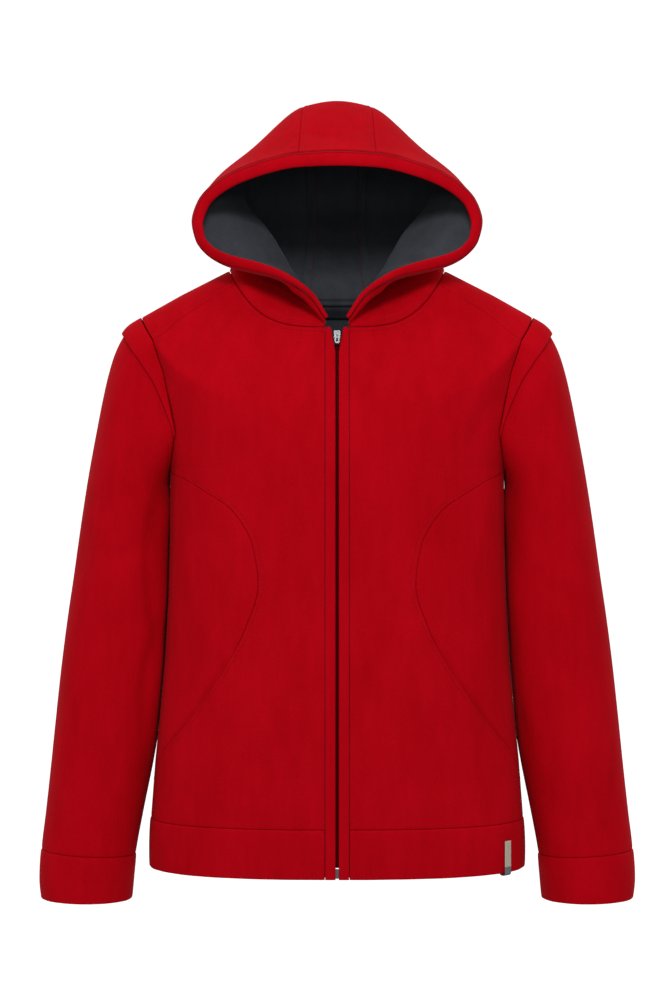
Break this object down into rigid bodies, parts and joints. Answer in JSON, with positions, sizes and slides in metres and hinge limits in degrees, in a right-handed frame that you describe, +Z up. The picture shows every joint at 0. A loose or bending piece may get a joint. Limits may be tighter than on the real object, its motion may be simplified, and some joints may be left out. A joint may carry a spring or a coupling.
{
  "type": "kids hoodie",
  "caption": "Hollow full-zip hooded jacket for a child, filled out as worn, with curved pocket seams, armhole flanges and open neck, hem and cuffs.",
  "frame": {"origin": "middle of the neck at shoulder height, where the wearer's neck and shoulders hold the garment", "axes": "+Z up, -Y out of the front, +X towards the wearer's left"},
  "size_m": [0.543, 0.2126, 0.7374],
  "materials": {
    "shell": "smooth red bonded fleece, charcoal inner face",
    "trim_dark": "charcoal woven tape",
    "teeth": "dark coil",
    "metal": "satin silver zip metal",
    "label": "beige woven tape, bare"
  },
  "bodies": {
    "garment": {"front_left": "shell", "side_front_left": "shell", "armhole_flange_left": "shell", "sleeve_left": "shell", "cuff_left": "shell", "hem_front_left": "shell", "hood_side_left": "shell", "zip_strip_left": "shell", "pocket_bag_left": "trim_dark", "zip_tape_left": "trim_dark", "front_right": "shell", "side_front_right": "shell", "armhole_flange_right": "shell", "sleeve_right": "shell", "cuff_right": "shell", "hem_front_right": "shell", "hood_side_right": "shell", "zip_strip_right": "shell", "pocket_bag_right": "trim_dark", "zip_tape_right": "trim_dark", "back": "shell", "hem_back": "shell", "hood_centre": "shell", "hood_rim": "shell", "neck_tape": "trim_dark", "zip_chain": "teeth", "zip_slider": "metal", "zip_bottom_stop": "metal", "hem_label": "label"},
    "pull": {"zip_pull": "metal"}
  },
  "joints": [
    {"name": "pull_swing", "type": "hinge", "parent": "garment", "child": "pull", "pos_m": [0, -0.07278, -0.04535], "axis": [-1, 0, 0], "range_deg": [0, 170]}
  ]
}
